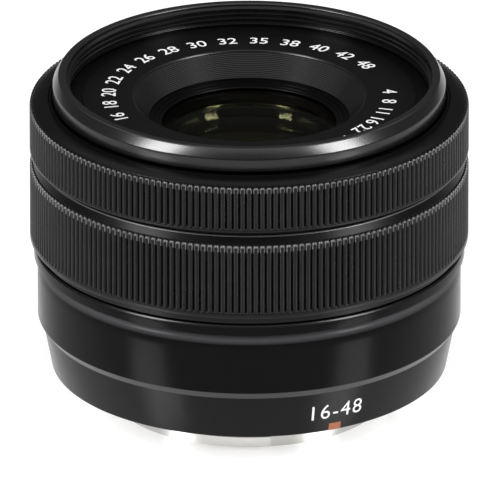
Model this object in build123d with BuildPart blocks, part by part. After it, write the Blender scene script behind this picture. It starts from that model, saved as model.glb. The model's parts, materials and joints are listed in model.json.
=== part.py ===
from build123d import *
import os
from math import acos, atan2, cos, degrees, floor, hypot, radians, sin, sqrt

# Compact retracting power zoom lens for a mirrorless camera, shown retracted.
# Millimetres. The origin is on the optical axis at the mount's flange face, +Z is the front.
# Angles are in degrees about +Z; -Y is the side with the index mark.

os.makedirs("parts", exist_ok=True)

# Stack of tubes, from the filter thread outwards: each wall and each play is set by itself
filter_radius = 26.0
front_tube_wall = 0.90    # from the thread's radius
tube_step = 0.30          # from the thread's radius in to the tube's bore
front_play = 0.10
middle_wall = 0.60
middle_play = 0.25
cam_wall = 0.65
cam_play = 0.10
sleeve_wall = 1.30
ring_play = 0.08
ring_wall = 0.87
rib_depth = 0.45

front_tube_radius = filter_radius + front_tube_wall
tube_bore = filter_radius - tube_step
middle_bore = front_tube_radius + front_play
middle_radius = middle_bore + middle_wall
cam_bore = middle_radius + middle_play
cam_radius = cam_bore + cam_wall
sleeve_bore = cam_radius + cam_play
sleeve_radius = sleeve_bore + sleeve_wall
ring_bore = sleeve_radius + ring_play
rib_root = ring_bore + ring_wall
ring_radius = rib_root + rib_depth

# Outside heights, from the flange face forwards
cover_gap = 0.20
cone_height = 6.50
cone_chamfer = 1.10
band_height = 6.60
shoulder_height = 2.10
collar_foot = 0.40
collar_height = 1.60
rear_groove = 0.90
zoom_ring_height = 12.85
middle_groove = 0.75
focus_ring_height = 7.00
focus_top_rise = 0.70
rim_gap = 0.30
rim_height = 3.20

cone_top = cover_gap + cone_height
band_bottom = cone_top + cone_chamfer
band_top = band_bottom + band_height
shoulder_top = band_top + shoulder_height
collar_bottom = shoulder_top + collar_foot
collar_top = collar_bottom + collar_height
zoom_bottom = collar_top + rear_groove
zoom_top = zoom_bottom + zoom_ring_height
focus_bottom = zoom_top + middle_groove
focus_shoulder = focus_bottom + focus_ring_height
focus_top = focus_shoulder + focus_top_rise
rim_bottom = focus_top + rim_gap
lens_front = rim_bottom + rim_height

# Fits shared by many pieces
cut = 1.0                 # how far a cutting tool runs past what it cuts
seat_play = 0.05          # between pieces that are fixed together
flat_play = 0.30          # between flat faces that pass each other
slot_play = 0.05          # each side of a pin in its slot
glass_play = 0.04         # round a lens element in its seat

# Rear barrel, the outer cover behind the rings
shell_step = 0.80
shell_wall = 1.08
collar_step = 0.52
cone_step = 0.73
cone_draw = 1.25
shoulder_draw = 0.83
cone_wall = 0.85
shoulder_round_share = 0.65
collar_neck = 0.30
flange_thickness = 1.0
flange_inset = 0.40       # from the register in to the flange's bore
ledge_thickness = 0.70
ledge_width = 1.20
sleeve_foot_radius = sleeve_radius - shell_step
shell_bore = sleeve_foot_radius + seat_play
band_radius = shell_bore + shell_wall
collar_radius = band_radius + collar_step
cone_radius = band_radius - cone_step
cone_foot_radius = cone_radius - cone_draw

# Bayonet mount
plate_thickness = 1.4
plate_recess = 1.0        # depth of the plate's web above the neck's bore
register_radius = 21.9
register_length = 1.0
neck_radius = 20.0
neck_wall = 1.4
neck_length = 5.0
web_width = 4.5
lug_radius = 21.7
lug_height = 1.4
lug_lift = 0.8            # from the neck's end to the lugs
lug_span = 38.0
lug_count = 3
screw_count = 4
screw_radius = 0.75
screw_head_radius = 1.45
screw_head_height = 0.70
screw_first = 45.0
lock_hole_radius = 1.2
lock_hole_depth = 0.9
lock_hole_turn = 100.0
plate_radius = cone_foot_radius - cone_wall - seat_play
neck_bore = neck_radius - neck_wall
web_bore = neck_bore - web_width + cut
web_bottom = plate_thickness - plate_recess
screw_circle = (register_radius + plate_radius) / 2
flange_bore = register_radius - flange_inset
flange_top = plate_thickness + flange_thickness
cone_bore = plate_radius + seat_play

# Electrical contacts
contact_count = 10
contact_radius = 0.35
contact_proud = 0.25
contact_pitch = 9.0
contact_turn = 270.0
contact_margin = 7.0
block_width = 3.2
block_recess = 0.6        # from the neck's end up to the block
block_bottom = -neck_length + block_recess
block_radius = neck_bore - seat_play
block_span = contact_pitch * (contact_count - 1) + 2 * contact_margin
contact_circle = block_radius - block_width / 2

# Fixed sleeve: floor, wall, divider between the two rings
floor_thickness = 1.1
floor_bore = 13.5
sleeve_top_gap = 1.8      # from the focus ring's top down to the sleeve's end
divider_height = 0.45
divider_step = 0.40
comb_relief = 0.40
comb_thickness = 0.33
comb_height = 2.6
comb_tooth_height = 1.3
comb_teeth = 40
comb_inset = 1.9
spring_wire = 0.15
spring_span = 110.0
spring_inset = 0.75
sensor_width = 4.0
sensor_thickness = 0.25
sensor_turn = 200.0
floor_bottom = cone_top + ledge_thickness
floor_top = floor_bottom + floor_thickness
sleeve_top = focus_top - sleeve_top_gap
divider_bottom = zoom_top + (middle_groove - divider_height) / 2

# Bezel and light seal in front of the sleeve
bezel_thickness = 0.60
bezel_wall = 0.50
bezel_play = 0.65
bezel_drop = 0.12         # from the focus ring's top down to the bezel
seal_height = 0.50
seal_depth = 0.28
seal_play = 0.08
bezel_bore = middle_radius + bezel_play
bezel_radius = bezel_bore + bezel_wall
bezel_top = focus_top - bezel_drop

# Ribbed rings
rib_count = 208
rib_draw = 0.35           # how far the ribs stop from a ring's straight edges
zoom_rib_bottom = 1.2
zoom_rib_top = 1.25
zoom_bevel = 0.80
focus_rib_bottom = 0.40
lip_play = 0.15
skirt_wall = 0.37
skirt_clear = 0.20

# Two stages of travel, each driven by its own cam slots
stage_travel = 10.5
cam_turn = 90.0
cam_phase = 15.0          # where the first middle follower stands
stage_shift = 70.0        # from a middle follower round to the next front follower
follower_count = 3
follower_radius = 0.75
follower_reach = 0.10     # how far a follower stops short of the sleeve's outside
cam_bottom_gap = 0.60
cam_top_gap = 0.30
middle_floor_gap = 3.9    # sleeve floor to the middle barrel's floor
middle_floor_thickness = 1.1
middle_floor_bore = 10.5
middle_follower_lift = 2.0
front_tube_gap = 0.50
front_follower_lift = 1.9
middle_top_gap = 0.40
slot_half = follower_radius + slot_play
cam_bottom = floor_top + cam_bottom_gap
middle_bottom = floor_top + middle_floor_gap
middle_floor_top = middle_bottom + middle_floor_thickness
middle_follower_height = middle_bottom + middle_follower_lift
front_tube_bottom = middle_floor_top + front_tube_gap
front_follower_height = front_tube_bottom + front_follower_lift
front_phase = cam_phase + stage_shift
middle_top = rim_bottom - middle_top_gap
follower_turn = 360 / follower_count

# Zoom drive: motor pinion, idler and the toothed ring inside the cam barrel
ring_teeth = 92
idler_teeth = 16
pinion_teeth = 10
tooth_root_share = 0.90
tooth_tip_share = 0.80
tooth_base_half_share = 0.29
tooth_tip_half_share = 0.12
gear_height = 2.4
gear_lift = 0.5
toothed_height = 2.6
idler_pin_radius = 0.60
running_play = 0.05
motor_radius = 4.0
motor_inset = 7.35        # from the cam barrel's bore in to the motor's axis
motor_gap = 0.20
motor_shaft_radius = 0.50
drive_turn = 150.0        # where the idler stands
gear_module = 2 * cam_bore / (ring_teeth + 2 * tooth_root_share)
ring_pitch = gear_module * ring_teeth / 2
motor_circle = cam_bore - motor_inset
idler_pitch = gear_module * idler_teeth / 2
pinion_pitch = gear_module * pinion_teeth / 2
idler_circle = ring_pitch - idler_pitch
gear_reach = idler_pitch + pinion_pitch
motor_shift = degrees(acos((idler_circle**2 + motor_circle**2 - gear_reach**2)
                           / (2 * idler_circle * motor_circle)))
motor_turn = drive_turn + motor_shift
gear_bottom = floor_top + gear_lift
motor_bottom = plate_thickness + motor_gap

# Main circuit board
board_thickness = 0.8
board_inset = 1.4         # from the cone's bore in to the board
board_overhang = 0.50     # from the flange's bore in to the board's bore
chip_length = 3.4
chip_width = 2.6
chip_height = 0.9
chip_turns = (20, 60, 105, 250, 300, 335)
board_radius = cone_bore - board_inset
board_bore = flange_bore - board_overhang

# Rear lens group
rear_cell_wall = 1.2
rear_cell_flange = 0.8
rear_cell_depth = 2.4
rear_glass_radius = 9.4
rear_lip = 0.7
rear_lip_height = 0.4
baffle_thickness = 1.2
window_width = 20.0
window_height = 13.6

# Focus group on two rods and a lead screw
rod_radius = 0.60
rod_circle = 18.6
rod_turns = (20.0, 250.0)
focus_screw_turn = 75.0
focus_motor_radius = 2.0
focus_motor_height = 2.1
screw_gap = 0.10
nut_height = 1.4
nut_wall = 0.9
nut_lift = 3.4            # carriage above the mount plate
focus_glass_radius = 7.6
focus_cell_wall = 1.0
arm_width = 2.2
screw_play = 0.10

# Stabiliser, carried on the middle barrel's floor
frame_play = 1.60         # from the thread's radius in to the frame
frame_wall = 1.7
frame_height = 5.4
magnet_length = 7.0
magnet_width = 3.4
magnet_height = 1.0
magnet_play = 0.10        # between the magnets and the guide above them
magnet_turns = (0.0, 90.0)
coil_gap = 0.30
coil_height = 0.9
coil_wall = 1.0
coil_margin = 1.0
carriage_thickness = 1.0
carriage_lug = 2.2
carriage_turns = (0.0, 90.0, 225.0)
stabiliser_glass_radius = 7.4
carriage_wall = 1.1
carriage_tube_rise = 1.7
carriage_tube_drop = 1.3
guide_gap = 0.60
guide_height = 0.8
guide_play = 1.30         # round the guide in its frame
guide_width = 4.0
cement_gap = 0.02
frame_radius = filter_radius - frame_play
guide_radius = frame_radius - frame_wall - guide_play
magnet_circle = guide_radius - guide_width - magnet_width / 2 - magnet_play

# Iris, seven blades each in its own layer
blade_count = 7
iris_bore = 7.6
iris_floor = 0.8
iris_height = 4.0
blade_thickness = 0.12
blade_pitch = 0.22
blade_first = 0.10
blade_inner = 7.9
blade_outer = 11.0
blade_span = 104.0
blade_start = -6.0
pivot_circle = 13.2
pivot_radius = 0.40
hub_radius = 1.0
lever = 3.0
blade_swing = 28.0
iris_ring_swing = 20.0
iris_ring_bore = 11.0
iris_ring_radius = 15.4
iris_ring_height = 0.6
iris_ring_lift = 1.9
iris_pin_play = 0.10
iris_motor_radius = 2.6
iris_motor_inset = 1.1    # between the motor and the frame
iris_motor_turn = 200.0
iris_motor_height = 2.8
iris_motor_circle = frame_radius - frame_wall - iris_motor_radius - iris_motor_inset

# Middle lens cell
middle_cell_wall = 1.4
middle_cell_height = 5.6
middle_flange_height = 0.8
middle_glass_radius = 8.6

# Front lens group, name ring and baffle
thread_length = 3.0
name_ring_thickness = 0.80
name_ring_recess = 0.10   # below the rim's foot
name_step = 0.20
name_step_width = 1.90
name_ring_bore = 16.75
baffle_mouth = 16.5
baffle_throat = 14.25
baffle_depth = 3.3
baffle_wall = 0.30
lip_radius = 12.4
lip_depth = 0.4
lip_height = 0.4
front_cell_wall = 1.9
cell_flange_thickness = 0.9
cell_flange_drop = 1.4    # name ring's seat to the cell's flange
ledge_width_front = 2.0
ledge_height = 0.9
front_glass_radius = 13.3
second_glass_radius = 11.6
third_glass_radius = 10.5
front_seat = 2.4
second_seat = 1.9
third_seat = 1.7
cell_lip = 0.7
rim_wall = 2.0
rim_land = 1.10
rim_bevel_drop = 1.35

name_ring_top = rim_bottom - name_ring_recess
name_ring_bottom = name_ring_top - name_ring_thickness
name_ring_radius = tube_bore - seat_play
rim_radius = filter_radius + rim_wall


def turn(points, mode=Mode.ADD):
    """Turn a half section of (radius, height) points about the optical axis."""
    with BuildSketch(Plane.XZ) as section:
        with BuildLine():
            Polyline(*points, close=True)
        make_face()
    revolve(section.sketch, axis=Axis.Z, mode=mode)


def ring(outer, inner, bottom, top, mode=Mode.ADD):
    """A plain ring about the optical axis."""
    turn([(inner, bottom), (outer, bottom), (outer, top), (inner, top)], mode=mode)


def disc(radius, bottom, top, at=(0, 0), mode=Mode.ADD):
    """A round post or hole parallel to the optical axis."""
    with BuildSketch(Plane.XY.offset(bottom)) as section:
        with Locations(at):
            Circle(radius)
    extrude(section.sketch, amount=top - bottom, mode=mode)


def sector(outer, inner, start, span, bottom, top, mode=Mode.ADD):
    """Part of a ring, from one angle through a span of angles."""
    with BuildSketch(Plane.XY.offset(bottom)) as section:
        with BuildLine():
            inside = CenterArc((0, 0), inner, start, span)
            outside = CenterArc((0, 0), outer, start, span)
            Line(inside @ 0, outside @ 0)
            Line(inside @ 1, outside @ 1)
        make_face()
    extrude(section.sketch, amount=top - bottom, mode=mode)


def at_angle(radius, angle):
    """The point at a radius and an angle."""
    return (radius * cos(radians(angle)), radius * sin(radians(angle)))


def spoke_plane(angle, reach, height):
    """A plane that faces outwards at an angle, a reach from the axis."""
    x, y = at_angle(reach, angle)
    across = at_angle(1, angle + 90)
    return Plane(origin=(x, y, height), x_dir=(*across, 0), z_dir=(*at_angle(1, angle), 0))


def spoke(radius, angle, height, inner, outer, mode=Mode.ADD):
    """A round pin or hole that points outwards from the axis."""
    with BuildSketch(spoke_plane(angle, inner, height)) as section:
        Circle(radius)
    extrude(section.sketch, amount=outer - inner, mode=mode)


def straight_slot(half, angle, bottom, top, inner, outer):
    """A slot along the axis through a wall, for a pin that stands between two heights."""
    with BuildSketch(spoke_plane(angle, inner, (bottom + top) / 2)) as section:
        SlotCenterToCenter(top - bottom, 2 * half, rotation=90)
    extrude(section.sketch, amount=outer - inner, mode=Mode.SUBTRACT)


def cam_slot(angle, start, rise):
    """A helical slot through the cam barrel, round at both ends."""
    reach = cam_radius + cut
    middle = (cam_bore + cam_radius) / 2
    path = Helix(pitch=rise * 360 / cam_turn, height=rise, radius=middle)
    path = path.rotate(Axis.Z, angle).translate((0, 0, start))
    with BuildSketch(Plane(origin=path @ 0, x_dir=(*at_angle(1, angle), 0), z_dir=path % 0)) as section:
        Rectangle(2 * (reach - middle), 2 * slot_half)
    sweep(section.sketch, path=path, is_frenet=True, mode=Mode.SUBTRACT)
    spoke(slot_half, angle, start, cam_bore - cut, reach, mode=Mode.SUBTRACT)
    spoke(slot_half, angle + cam_turn, start + rise, cam_bore - cut, reach, mode=Mode.SUBTRACT)


def tooth_points(teeth, phase, root, tip, centre=(0, 0)):
    """The outline of a gear, four points to a tooth, first tooth centred at the phase angle."""
    step = 360 / teeth
    corners = ((root, -tooth_base_half_share), (tip, -tooth_tip_half_share),
               (tip, tooth_tip_half_share), (root, tooth_base_half_share))
    points = []
    for tooth in range(teeth):
        for radius, share in corners:
            x, y = at_angle(radius, phase + (tooth + share) * step)
            points.append((centre[0] + x, centre[1] + y))
    return points


def gear(teeth, phase, centre, bottom, height, bore):
    """An outside gear with a round bore."""
    pitch = gear_module * teeth / 2
    root = pitch - tooth_root_share * gear_module
    tip = pitch + tooth_tip_share * gear_module
    with BuildSketch(Plane.XY.offset(bottom)) as section:
        with BuildLine():
            Polyline(*tooth_points(teeth, phase, root, tip, centre), close=True)
        make_face()
        if bore > 0:
            with Locations(centre):
                Circle(bore, mode=Mode.SUBTRACT)
    extrude(section.sketch, amount=height)


def arc_middle(radius, edge, rise):
    """The middle point of a lens surface that rises from its edge to the axis."""
    curve = (radius**2 + rise**2) / (2 * abs(rise))
    drop = curve - sqrt(curve**2 - (radius / 2) ** 2)
    top = edge + rise
    return (radius / 2, top - drop if rise > 0 else top + drop)


def glass(radius, bottom, top, front_rise, back_rise):
    """A lens element between its edge heights, each surface flat or curved."""
    with BuildSketch(Plane.XZ) as section:
        with BuildLine():
            Line((0, bottom + back_rise), (0, top + front_rise))
            if front_rise:
                ThreePointArc((0, top + front_rise), arc_middle(radius, top, front_rise), (radius, top))
            else:
                Line((0, top), (radius, top))
            Line((radius, top), (radius, bottom))
            if back_rise:
                ThreePointArc((radius, bottom), arc_middle(radius, bottom, back_rise),
                              (0, bottom + back_rise))
            else:
                Line((radius, bottom), (0, bottom))
        make_face()
    revolve(section.sketch, axis=Axis.Z)


def save(piece, name):
    """Label a finished piece and write it under its name."""
    piece.part.label = name
    export_step(piece.part, f"parts/{name}.step")


# Mount plate: flange, register, neck with three bayonet lugs, screw holes and lock hole
screw_turns = [screw_first + k * 360 / screw_count for k in range(screw_count)]
with BuildPart() as mount_plate:
    turn([(web_bore, web_bottom), (neck_bore, web_bottom), (neck_bore, -neck_length),
          (neck_radius, -neck_length), (neck_radius, -register_length),
          (register_radius, -register_length), (register_radius, 0),
          (plate_radius, 0), (plate_radius, plate_thickness), (web_bore, plate_thickness)])
    for k in range(lug_count):
        sector(lug_radius, neck_bore + neck_wall / 2, k * 360 / lug_count, lug_span,
               -neck_length + lug_lift, -neck_length + lug_lift + lug_height)
    for angle in screw_turns:
        hole = at_angle(screw_circle, angle)
        disc(screw_radius + seat_play, -cut, plate_thickness + cut, hole, mode=Mode.SUBTRACT)
        disc(screw_head_radius + seat_play, -cut, screw_head_height, hole, mode=Mode.SUBTRACT)
    disc(lock_hole_radius, -cut, lock_hole_depth, at_angle(screw_circle, lock_hole_turn),
         mode=Mode.SUBTRACT)
save(mount_plate, "mount_plate")

# Four screws hold the plate to the rear barrel's flange
with BuildPart() as mount_screws:
    for angle in screw_turns:
        place = at_angle(screw_circle, angle)
        disc(screw_head_radius, 0, screw_head_height, place)
        disc(screw_radius, screw_head_height, flange_top, place)
save(mount_screws, "mount_screws")

# Contact block under the plate's web, with its row of pins
with BuildPart() as contact_block:
    sector(block_radius, block_radius - block_width, contact_turn - block_span / 2, block_span,
           block_bottom, web_bottom)
    for k in range(contact_count):
        angle = contact_turn + (k - (contact_count - 1) / 2) * contact_pitch
        disc(contact_radius + seat_play, block_bottom - cut, block_bottom + cut,
             at_angle(contact_circle, angle), mode=Mode.SUBTRACT)
save(contact_block, "contact_block")

with BuildPart() as contact_pins:
    for k in range(contact_count):
        angle = contact_turn + (k - (contact_count - 1) / 2) * contact_pitch
        disc(contact_radius, block_bottom - contact_proud, block_bottom + cut - seat_play,
             at_angle(contact_circle, angle))
save(contact_pins, "contact_pins")

# Rear lens cell in the plate's web, with its two elements
rear_cell_radius = web_bore - seat_play
rear_cell_bottom = plate_thickness - rear_cell_depth - rear_cell_flange
rear_seat = rear_cell_bottom + rear_lip_height
rear_cell_rim = web_bore + rear_cell_wall
rear_cell_top = plate_thickness + rear_cell_flange
with BuildPart() as rear_cell:
    turn([(rear_glass_radius - rear_lip, rear_cell_bottom), (rear_cell_radius, rear_cell_bottom),
          (rear_cell_radius, plate_thickness), (rear_cell_rim, plate_thickness),
          (rear_cell_rim, rear_cell_top), (rear_glass_radius + glass_play, rear_cell_top),
          (rear_glass_radius + glass_play, rear_seat), (rear_glass_radius - rear_lip, rear_seat)])
save(rear_cell, "rear_cell")

rear_glass_thickness = (rear_cell_top - rear_seat) / 2 - glass_play
with BuildPart() as rear_element:
    glass(rear_glass_radius, rear_seat, rear_seat + rear_glass_thickness, 0, rear_lip_height)
save(rear_element, "rear_element")

with BuildPart() as rear_inner_element:
    glass(rear_glass_radius, rear_cell_top - rear_glass_thickness, rear_cell_top, rear_lip_height, 0)
save(rear_inner_element, "rear_inner_element")

# Rear baffle with its oblong window, under the rear cell
with BuildPart() as rear_baffle:
    disc(rear_cell_radius - seat_play, rear_cell_bottom - baffle_thickness, rear_cell_bottom)
    with BuildSketch(Plane.XY.offset(rear_cell_bottom - baffle_thickness - cut)):
        Rectangle(window_width, window_height)
    extrude(amount=baffle_thickness + 2 * cut, mode=Mode.SUBTRACT)
save(rear_baffle, "rear_baffle")

# Rear barrel: lower cone, chamfer, band and shoulder in one shell
motor_place = at_angle(motor_circle, motor_turn)
shoulder_middle = band_top + shoulder_height * shoulder_round_share
shoulder_reach = band_radius - shoulder_draw * (1 - shoulder_round_share)
with BuildPart() as rear_barrel:
    turn([(cone_bore, cover_gap), (cone_foot_radius, cover_gap), (cone_radius, cone_top),
          (band_radius, band_bottom), (band_radius, band_top), (shoulder_reach, shoulder_middle),
          (band_radius - shoulder_draw, shoulder_top), (shell_bore, shoulder_top),
          (shell_bore, floor_bottom), (shell_bore - ledge_width, floor_bottom),
          (shell_bore - ledge_width, cone_top - ledge_thickness / 2),
          (cone_bore, flange_top), (flange_bore, flange_top),
          (flange_bore, plate_thickness), (cone_bore, plate_thickness)])
    for angle in screw_turns:
        disc(screw_radius + seat_play, plate_thickness - cut, flange_top + cut,
             at_angle(screw_circle, angle), mode=Mode.SUBTRACT)
    disc(motor_radius + flat_play, plate_thickness - cut, flange_top + cut, motor_place, mode=Mode.SUBTRACT)
save(rear_barrel, "rear_barrel")

# Collar between the rear barrel and the zoom ring
with BuildPart() as rear_collar:
    turn([(shell_bore, shoulder_top), (shell_bore + collar_neck, shoulder_top),
          (shell_bore + collar_neck, collar_bottom), (collar_radius, collar_bottom),
          (collar_radius, collar_top), (shell_bore, collar_top)])
save(rear_collar, "rear_collar")

# Main board on the flange, open beside the motor, with its chips
with BuildPart() as main_board:
    ring(board_radius, board_bore, flange_top, flange_top + board_thickness)
    disc(motor_radius + flat_play, flange_top - cut, flange_top + board_thickness + cut, motor_place,
         mode=Mode.SUBTRACT)
    for angle in chip_turns:
        with BuildSketch(Plane.XY.offset(flange_top + board_thickness)):
            with PolarLocations((board_radius + board_bore) / 2, 1, start_angle=angle):
                Rectangle(chip_length, chip_width)
        extrude(amount=chip_height)
save(main_board, "main_board")

# Fixed sleeve: floor, guide slots for the middle followers, divider, reliefs for combs and spring
zoom_comb_bottom = zoom_top - comb_inset - comb_height
focus_comb_bottom = focus_bottom + comb_inset
spring_height = zoom_bottom + spring_inset
relief_radius = sleeve_radius - comb_relief
comb_bottoms = (zoom_comb_bottom, focus_comb_bottom)
follower_turns = [cam_phase + k * follower_turn for k in range(follower_count)]
front_turns = [front_phase + k * follower_turn for k in range(follower_count)]
with BuildPart() as main_sleeve:
    turn([(floor_bore, floor_bottom), (sleeve_foot_radius, floor_bottom),
          (sleeve_foot_radius, collar_top), (sleeve_radius, collar_top),
          (sleeve_radius, divider_bottom), (sleeve_radius + divider_step, divider_bottom),
          (sleeve_radius + divider_step, divider_bottom + divider_height),
          (sleeve_radius, divider_bottom + divider_height), (sleeve_radius, sleeve_top),
          (sleeve_bore, sleeve_top), (sleeve_bore, floor_top), (floor_bore, floor_top)])
    for bottom in comb_bottoms:
        ring(sleeve_radius + cut, relief_radius, bottom - flat_play, bottom + comb_height + flat_play,
             mode=Mode.SUBTRACT)
        with BuildSketch(spoke_plane(sensor_turn, sleeve_bore - cut, bottom + comb_height / 2)):
            Rectangle(sensor_width + 2 * seat_play, comb_tooth_height + 2 * seat_play)
        extrude(amount=sleeve_wall + 2 * cut, mode=Mode.SUBTRACT)
    ring(sleeve_radius + cut, relief_radius, spring_height - 2 * spring_wire,
         spring_height + 2 * spring_wire, mode=Mode.SUBTRACT)
    for angle in follower_turns:
        straight_slot(slot_half, angle, middle_follower_height, middle_follower_height + stage_travel,
                      sleeve_bore - cut, sleeve_radius + cut)
    disc(motor_shaft_radius + flat_play, floor_bottom - cut, floor_top + cut, motor_place,
         mode=Mode.SUBTRACT)
save(main_sleeve, "main_sleeve")

# Two sensors behind the rings' combs, and the spring that centres the zoom ring
with BuildPart() as ring_sensors:
    for bottom in comb_bottoms:
        with BuildSketch(spoke_plane(sensor_turn, sleeve_bore + seat_play, bottom + comb_height / 2)):
            Rectangle(sensor_width, comb_tooth_height)
        extrude(amount=sensor_thickness)
save(ring_sensors, "ring_sensors")

with BuildPart() as zoom_return_spring:
    with BuildSketch(Plane.XZ) as wire:
        with Locations((relief_radius + spring_wire + seat_play / 2, spring_height)):
            Circle(spring_wire)
    revolve(axis=Axis.Z, revolution_arc=spring_span)
save(zoom_return_spring, "zoom_return_spring")

# Front bezel on the sleeve's end, with the light seal in its groove
seal_bottom = bezel_top - 2 * seal_height
with BuildPart() as front_bezel:
    turn([(bezel_bore, sleeve_top), (sleeve_radius, sleeve_top),
          (sleeve_radius, sleeve_top + bezel_thickness), (bezel_radius, sleeve_top + bezel_thickness),
          (bezel_radius, bezel_top), (bezel_bore, bezel_top)])
    ring(bezel_bore + seal_depth, bezel_bore - cut, seal_bottom, seal_bottom + seal_height,
         mode=Mode.SUBTRACT)
save(front_bezel, "front_bezel")

with BuildPart() as light_seal:
    ring(bezel_bore + seal_depth - seat_play, middle_radius + seal_play,
         seal_bottom + seat_play, seal_bottom + seal_height - seat_play)
save(light_seal, "light_seal")


def ribs(bottom, top):
    """Upright ribs round a ring, one point to a crest and one to a root."""
    step = 360 / rib_count
    points = []
    for rib in range(rib_count):
        points.append(at_angle(rib_root, (rib - 0.5) * step))
        points.append(at_angle(ring_radius, rib * step))
    with BuildSketch(Plane.XY.offset(bottom)) as section:
        with BuildLine():
            Polyline(*points, close=True)
        make_face()
        Circle(ring_bore + ring_wall / 2, mode=Mode.SUBTRACT)
    extrude(section.sketch, amount=top - bottom)


# Zoom ring: ribs, smooth lower lip, bevelled top, skirt that runs on the collar
with BuildPart() as zoom_ring:
    turn([(ring_bore, collar_top + skirt_clear), (ring_bore + skirt_wall, collar_top + skirt_clear),
          (ring_bore + skirt_wall, zoom_bottom), (ring_radius, zoom_bottom),
          (ring_radius, zoom_bottom + zoom_rib_bottom - rib_draw), (rib_root, zoom_bottom + zoom_rib_bottom),
          (rib_root, zoom_top - zoom_rib_top), (ring_radius, zoom_top - zoom_rib_top),
          (ring_radius - zoom_bevel, zoom_top), (ring_bore, zoom_top)])
    ribs(zoom_bottom + zoom_rib_bottom - rib_draw, zoom_top - zoom_rib_top)
save(zoom_ring, "zoom_ring")

# Focus ring: ribs, smooth lower lip, conical top that covers the sleeve's end
lip_bottom = sleeve_top + bezel_thickness + lip_play
with BuildPart() as focus_ring:
    turn([(ring_bore, focus_bottom), (ring_radius, focus_bottom),
          (ring_radius, focus_bottom + focus_rib_bottom), (rib_root, focus_bottom + focus_rib_bottom),
          (rib_root, focus_shoulder), (bezel_radius + lip_play, focus_top),
          (bezel_radius + lip_play, lip_bottom), (ring_bore, lip_bottom)])
    ribs(focus_bottom + focus_rib_bottom, focus_shoulder)
save(focus_ring, "focus_ring")


def comb(bottom):
    """A toothed strip inside a ring that the sensor counts."""
    ring(ring_bore - seat_play, ring_bore - comb_thickness, bottom + comb_tooth_height,
         bottom + comb_height)
    step = 360 / comb_teeth
    for tooth in range(comb_teeth):
        sector(ring_bore - seat_play, ring_bore - comb_thickness, tooth * step, step / 2,
               bottom, bottom + comb_tooth_height)


with BuildPart() as zoom_comb:
    comb(zoom_comb_bottom)
save(zoom_comb, "zoom_comb")

with BuildPart() as focus_comb:
    comb(focus_comb_bottom)
save(focus_comb, "focus_comb")

# Cam barrel: toothed ring at its foot, three slots for each stage
cam_top = sleeve_top - cam_top_gap
with BuildPart() as cam_barrel:
    ring(cam_radius, cam_bore, cam_bottom, cam_top)
    with BuildSketch(Plane.XY.offset(cam_bottom)):
        Circle((cam_bore + cam_radius) / 2)
        with BuildLine():
            ring_phase = drive_turn - 180 / ring_teeth
            Polyline(*tooth_points(ring_teeth, ring_phase, cam_bore,
                                   ring_pitch - tooth_tip_share * gear_module), close=True)
        make_face(mode=Mode.SUBTRACT)
    extrude(amount=toothed_height)
    for angle in follower_turns:
        cam_slot(angle, middle_follower_height, stage_travel)
    for angle in front_turns:
        cam_slot(angle, front_follower_height, 2 * stage_travel)
save(cam_barrel, "cam_barrel")

# Zoom drive: motor under the floor, pinion on its shaft, idler on a pin
idler_place = at_angle(idler_circle, drive_turn)
with BuildPart() as zoom_motor:
    disc(motor_radius, motor_bottom, floor_bottom, motor_place)
    disc(motor_shaft_radius + running_play, (motor_bottom + floor_bottom) / 2, floor_bottom + cut,
         motor_place, mode=Mode.SUBTRACT)
save(zoom_motor, "zoom_motor")

with BuildPart() as idler_pin:
    disc(idler_pin_radius, floor_top, gear_bottom + gear_height + gear_lift, idler_place)
save(idler_pin, "idler_pin")

with BuildPart() as idler_gear:
    gear(idler_teeth, drive_turn, idler_place, gear_bottom, gear_height, idler_pin_radius + running_play)
save(idler_gear, "idler_gear")

mesh_turn = degrees(atan2(motor_place[1] - idler_place[1], motor_place[0] - idler_place[0]))
idler_phase = (mesh_turn - drive_turn) * idler_teeth / 360
pinion_phase = mesh_turn + 180 - (0.5 - (idler_phase - floor(idler_phase))) * 360 / pinion_teeth
with BuildPart() as motor_pinion:
    gear(pinion_teeth, pinion_phase, motor_place, gear_bottom, gear_height, 0)
    disc(motor_shaft_radius, (motor_bottom + floor_bottom) / 2 + flat_play, gear_bottom, motor_place)
save(motor_pinion, "motor_pinion")

# Middle barrel: floor that carries the iris and stabiliser, slots for the front followers
with BuildPart() as middle_barrel:
    turn([(middle_floor_bore, middle_bottom), (middle_radius, middle_bottom),
          (middle_radius, middle_top), (middle_bore, middle_top),
          (middle_bore, middle_floor_top), (middle_floor_bore, middle_floor_top)])
    for angle in follower_turns:
        spoke(follower_radius + seat_play, angle, middle_follower_height, middle_bore - cut,
              middle_radius + cut, mode=Mode.SUBTRACT)
    for angle in front_turns:
        straight_slot(slot_half, angle, front_follower_height, front_follower_height + stage_travel,
                      middle_bore - cut, middle_radius + cut)
save(middle_barrel, "middle_barrel")

with BuildPart() as middle_followers:
    for angle in follower_turns:
        spoke(follower_radius, angle, middle_follower_height, middle_bore + seat_play,
              sleeve_foot_radius - follower_reach)
save(middle_followers, "middle_followers")

# Front barrel: tube, rim with the filter thread's bore, ledge for the front cell
cell_seat = name_ring_bottom - cell_flange_drop
with BuildPart() as front_barrel:
    turn([(tube_bore, front_tube_bottom), (front_tube_radius, front_tube_bottom),
          (front_tube_radius, rim_bottom), (rim_radius, rim_bottom),
          (rim_radius, lens_front - rim_bevel_drop), (filter_radius + rim_land, lens_front),
          (filter_radius, lens_front), (filter_radius, lens_front - thread_length),
          (tube_bore, lens_front - thread_length), (tube_bore, cell_seat),
          (filter_radius - ledge_width_front, cell_seat),
          (filter_radius - ledge_width_front, cell_seat - ledge_height),
          (tube_bore, cell_seat - ledge_height)])
    for angle in front_turns:
        spoke(follower_radius + seat_play, angle, front_follower_height, filter_radius - cut,
              front_tube_radius + cut, mode=Mode.SUBTRACT)
save(front_barrel, "front_barrel")

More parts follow.
